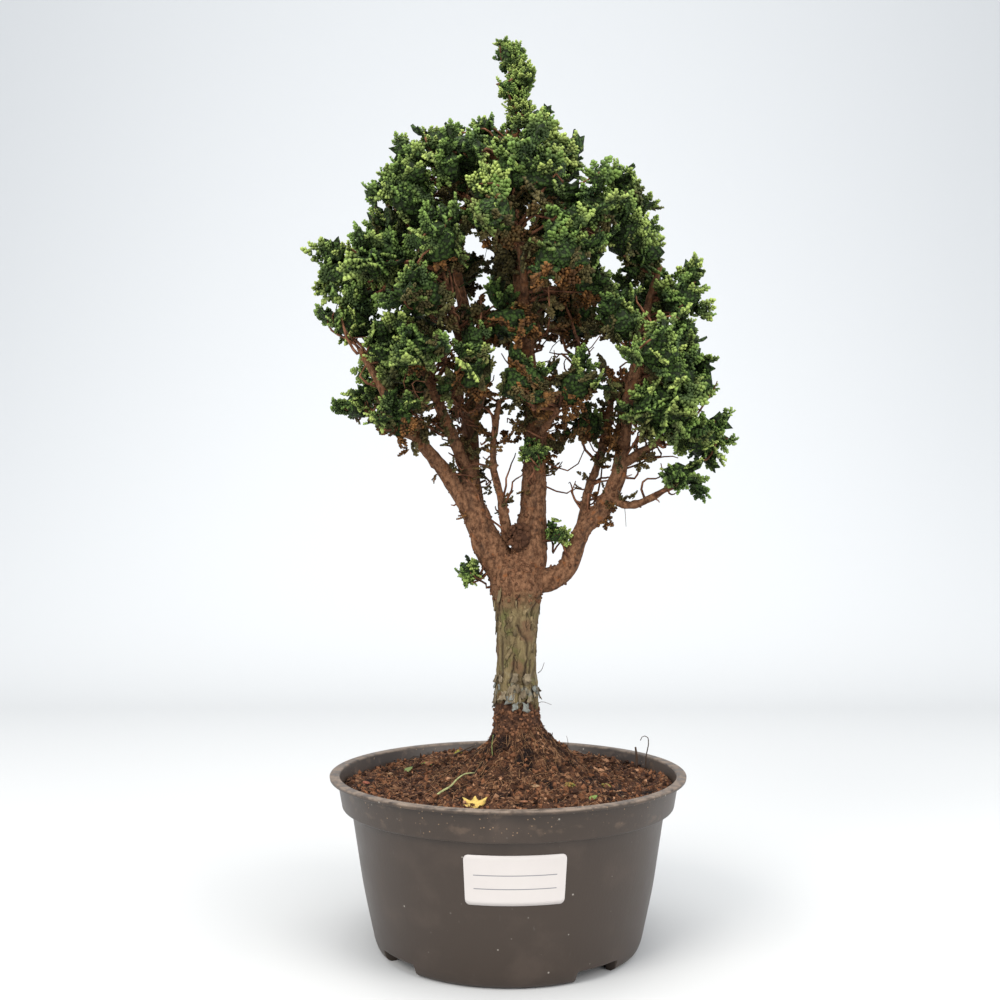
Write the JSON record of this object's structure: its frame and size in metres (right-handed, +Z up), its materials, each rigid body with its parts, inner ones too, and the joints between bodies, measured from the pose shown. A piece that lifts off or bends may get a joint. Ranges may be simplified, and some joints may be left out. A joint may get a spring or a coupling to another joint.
{
  "type": "potted bonsai tree",
  "caption": "Hinoki cypress bonsai: a straight trunk that forks into upright limbs with a dense crown of leafy sprays, in soil in a round plastic nursery pot.",
  "frame": {"origin": "middle of the whole plant's box in plan, on the plane that the pot stands on", "axes": "+Z up the trunk, -Y out of the pot's labelled side, +X to the right of someone who faces the label"},
  "size_m": [0.2392, 0.196, 0.5062],
  "materials": {
    "pot_plastic": "satin charcoal, dusty on the rim",
    "label_paper": "bare white, smooth",
    "peat": "crumbly dark peat",
    "bark": "rough flaky bark",
    "leaf": "fine green scale leaves"
  },
  "bodies": {
    "root": {"pot": "pot_plastic", "label": "label_paper", "soil": "peat", "trunk_and_limbs": "bark", "spray_01": "leaf", "spray_02": "leaf", "spray_03": "leaf", "spray_04": "leaf", "spray_05": "leaf", "spray_06": "leaf", "spray_07": "leaf", "spray_08": "leaf", "spray_09": "leaf", "spray_10": "leaf", "spray_11": "leaf", "spray_12": "leaf", "spray_13": "leaf", "spray_14": "leaf", "spray_15": "leaf", "spray_16": "leaf", "spray_17": "leaf", "spray_18": "leaf", "spray_19": "leaf", "spray_20": "leaf", "spray_21": "leaf", "spray_22": "leaf", "spray_23": "leaf", "spray_24": "leaf", "spray_25": "leaf", "spray_26": "leaf", "spray_27": "leaf", "spray_28": "leaf", "spray_29": "leaf", "spray_30": "leaf", "spray_31": "leaf", "spray_32": "leaf", "spray_33": "leaf", "spray_34": "leaf", "spray_35": "leaf", "spray_36": "leaf", "spray_37": "leaf", "spray_38": "leaf", "spray_39": "leaf", "spray_40": "leaf", "spray_41": "leaf", "spray_42": "leaf", "spray_43": "leaf", "spray_44": "leaf", "spray_45": "leaf", "spray_46": "leaf", "spray_47": "leaf", "spray_48": "leaf", "spray_49": "leaf", "spray_50": "leaf", "spray_51": "leaf", "spray_52": "leaf", "spray_53": "leaf", "spray_54": "leaf", "spray_55": "leaf", "spray_56": "leaf"}
  },
  "joints": []
}
